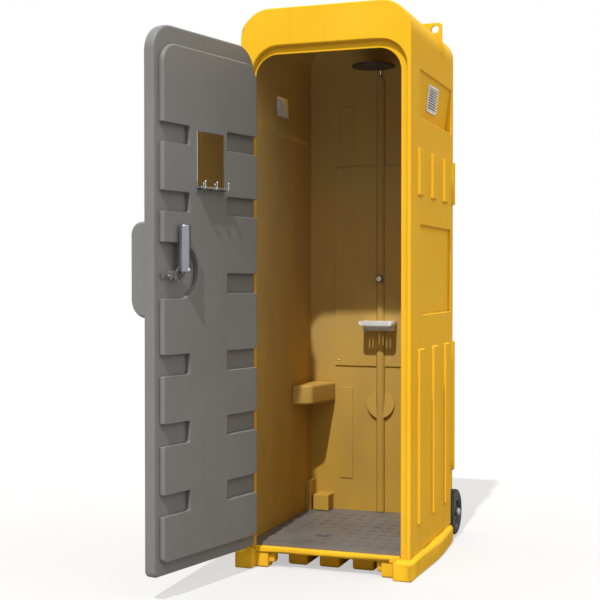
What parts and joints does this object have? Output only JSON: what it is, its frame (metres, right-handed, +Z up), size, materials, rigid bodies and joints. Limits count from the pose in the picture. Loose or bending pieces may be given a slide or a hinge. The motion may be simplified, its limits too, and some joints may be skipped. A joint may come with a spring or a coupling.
{
  "type": "portable shower cabin",
  "caption": "Free-standing moulded shower cabin with an outward-opening side-hinged door, overhead shower, push valve, floor tray, roof lifting lugs and rear transport wheels.",
  "frame": {"origin": "on the ground, under the middle of the cabin body's width and depth, on the middle skid's bottom face", "axes": "+Z up, -Y out of the doorway towards the user, +X to the right seen from the doorway, so the hinges are on the -X side"},
  "size_m": [0.9033, 1.5481, 2.206],
  "materials": {
    "yellow_shell": "satin",
    "grey_shell": "satin",
    "white_plastic": "gloss",
    "steel": "satin",
    "chrome": "polished",
    "copper_pipe": "satin",
    "black_plastic": "gloss",
    "dark_plastic": "satin",
    "mirror_glass": "polished",
    "tyre_rubber": "matte",
    "light_plastic": "satin"
  },
  "bodies": {
    "cabin": {"cabin_shell": "yellow_shell", "base_pallet": "yellow_shell", "service_panel_left": "yellow_shell", "service_panel_right": "yellow_shell", "riser_cover": "yellow_shell", "corner_shelf": "yellow_shell", "floor_tray": "grey_shell", "drain_outlet": "grey_shell", "soap_dish": "white_plastic", "soap_dish_bracket": "white_plastic", "vent_grille_left": "white_plastic", "vent_grille_right": "white_plastic", "drain_grate": "steel", "service_screws": "steel", "water_inlet": "steel", "vent_screws": "steel", "hinge_frame_leaves": "steel", "hinge_pins": "steel", "hinge_screws": "steel", "axle_bracket_left": "steel", "axle_bracket_right": "steel", "bracket_bolts": "steel", "wheel_axle": "steel", "shower_arm": "chrome", "nozzle_plate": "chrome", "valve_body": "chrome", "riser_pipe_lower": "copper_pipe", "riser_pipe_upper": "copper_pipe", "valve_bezel": "black_plastic", "shower_head": "dark_plastic"},
    "door": {"door_shell": "grey_shell", "door_inner_panel": "grey_shell", "door_pull": "grey_shell", "hinge_door_leaves": "steel", "mirror": "mirror_glass", "mirror_shelf": "steel", "coat_hooks": "steel", "shelf_screws": "steel", "latch_guides": "steel"},
    "lever": {"latch_lever": "chrome", "latch_spindle": "steel"},
    "bolt": {"latch_bolt": "steel", "bolt_stud": "steel"},
    "button": {"push_button": "white_plastic"},
    "wheel_left": {"tyre_left": "tyre_rubber", "rim_left": "dark_plastic", "hub_cap_left": "light_plastic"},
    "wheel_right": {"tyre_right": "tyre_rubber", "rim_right": "dark_plastic", "hub_cap_right": "light_plastic"}
  },
  "joints": [
    {"name": "door_hinge", "type": "hinge", "parent": "cabin", "child": "door", "pos_m": [-0.2985, -0.4069, 1.065], "axis": [0, 0, 1], "range_deg": [-30, 103.3]},
    {"name": "lever_pivot", "type": "hinge", "parent": "door", "child": "lever", "pos_m": [-0.36452, -0.90353, 1.17], "axis": [-0.9732, 0.23, 0], "range_deg": [0, 90]},
    {"name": "bolt_slide", "type": "slide", "parent": "door", "child": "bolt", "axis": [-0.23, -0.9732, 0], "range_m": [0, 0.018]},
    {"name": "button_press", "type": "slide", "parent": "cabin", "child": "button", "axis": [0, 1, 0], "range_m": [0, 0.005], "stiffness_N_per_m": 600},
    {"name": "wheel_left_spin", "type": "hinge", "parent": "cabin", "child": "wheel_left", "pos_m": [-0.333, 0.425, 0.108], "axis": [1, 0, 0], "continuous": true},
    {"name": "wheel_right_spin", "type": "hinge", "parent": "cabin", "child": "wheel_right", "pos_m": [0.333, 0.425, 0.108], "axis": [1, 0, 0], "continuous": true}
  ],
  "couplings": [
    {"joint": "bolt_slide", "follows": "lever_pivot", "m_per_rad": 0.011459}
  ]
}
